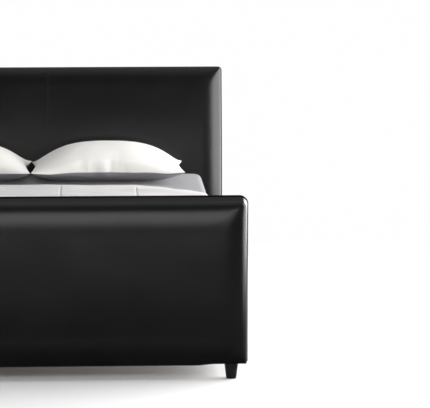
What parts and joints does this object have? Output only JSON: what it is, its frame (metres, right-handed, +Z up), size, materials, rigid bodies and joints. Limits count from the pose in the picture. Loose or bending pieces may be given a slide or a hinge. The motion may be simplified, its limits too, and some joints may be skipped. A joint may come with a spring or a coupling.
{
  "type": "sleigh bed",
  "caption": "Upholstered sleigh bed: curved leather headboard and footboard, padded side rails, slatted base on a centre beam, mattress, duvet and pillows.",
  "frame": {"origin": "on the floor, under the middle of the bed's overall outline", "axes": "+Z up, +Y towards the headboard, +X to the right when looking from the footboard to the headboard"},
  "size_m": [1.75, 2.386, 1.15],
  "materials": {
    "leather": "black smooth-grain leather with a soft gloss",
    "frame_timber": "planed softwood, unfinished",
    "plywood": "birch plywood, unfinished",
    "slat_wood": "laminated birch, clear varnish",
    "foam": "cut upholstery foam with a thin wadding",
    "leg_lacquer": "black satin lacquer on turned wood",
    "black_steel": "black powder coat",
    "black_plastic": "moulded black polymer",
    "zinc_steel": "bright zinc plate",
    "ticking": "quilted white knit",
    "sheet_cotton": "grey cotton percale",
    "duvet_cotton": "pale grey cotton sateen",
    "pillow_cotton": "ivory cotton above, grey cotton below"
  },
  "bodies": {
    "bed_frame": {"headboard_post_left": "frame_timber", "headboard_post_right": "frame_timber", "headboard_top_rail": "frame_timber", "headboard_bottom_rail": "frame_timber", "headboard_ribs": "frame_timber", "headboard_front_panel": "plywood", "headboard_back_panel": "plywood", "headboard_foam": "foam", "headboard_back_pad": "foam", "headboard_cover_left": "leather", "headboard_cover_right": "leather", "headboard_back_cover": "leather", "headboard_welt": "leather", "footboard_post_left": "frame_timber", "footboard_post_right": "frame_timber", "footboard_top_rail": "frame_timber", "footboard_bottom_rail": "frame_timber", "footboard_ribs": "frame_timber", "footboard_front_panel": "plywood", "footboard_back_panel": "plywood", "footboard_foam": "foam", "footboard_back_pad": "foam", "footboard_cover": "leather", "footboard_back_cover": "leather", "footboard_welt": "leather", "side_rail_core_left": "frame_timber", "side_rail_core_right": "frame_timber", "side_rail_foam_left": "foam", "side_rail_foam_right": "foam", "side_rail_cover_left": "leather", "side_rail_cover_right": "leather", "ledger_left": "frame_timber", "ledger_right": "frame_timber", "centre_beam": "frame_timber", "beam_hanger_head": "black_steel", "beam_hanger_foot": "black_steel", "slats_left": "slat_wood", "slats_right": "slat_wood", "slat_holders_outer": "black_plastic", "slat_holders_centre": "black_plastic", "support_leg_head": "black_steel", "support_leg_foot": "black_steel", "support_plugs": "black_plastic", "corner_brackets": "black_steel", "frame_bolts": "zinc_steel", "wood_screws": "zinc_steel", "threaded_inserts": "zinc_steel", "leg_studs": "zinc_steel", "leg_glides": "black_plastic", "corner_leg_foot_left": "leg_lacquer", "corner_leg_foot_right": "leg_lacquer", "corner_leg_head_left": "leg_lacquer", "corner_leg_head_right": "leg_lacquer"},
    "mattress": {"mattress": "ticking", "fitted_sheet": "sheet_cotton"},
    "duvet": {"duvet": "duvet_cotton"},
    "pillow_left": {"pillow_left": "pillow_cotton"},
    "pillow_right": {"pillow_right": "pillow_cotton"},
    "levelling_foot_head": {"levelling_foot_head": "black_plastic"},
    "levelling_foot_foot": {"levelling_foot_foot": "black_plastic"}
  },
  "joints": [
    {"name": "mattress_lift", "type": "slide", "parent": "bed_frame", "child": "mattress", "axis": [0, 0, 1], "range_m": [0, 0.3]},
    {"name": "duvet_lift", "type": "slide", "parent": "mattress", "child": "duvet", "axis": [0, 0, 1], "range_m": [0, 0.3]},
    {"name": "pillow_left_lift", "type": "slide", "parent": "mattress", "child": "pillow_left", "axis": [0, 0, 1], "range_m": [0, 0.35]},
    {"name": "pillow_right_lift", "type": "slide", "parent": "mattress", "child": "pillow_right", "axis": [0, 0, 1], "range_m": [0, 0.35]},
    {"name": "levelling_foot_head_screw", "type": "slide", "parent": "bed_frame", "child": "levelling_foot_head", "axis": [0, 0, -1], "range_m": [0, 0.02]},
    {"name": "levelling_foot_foot_screw", "type": "slide", "parent": "bed_frame", "child": "levelling_foot_foot", "axis": [0, 0, -1], "range_m": [0, 0.02]}
  ]
}
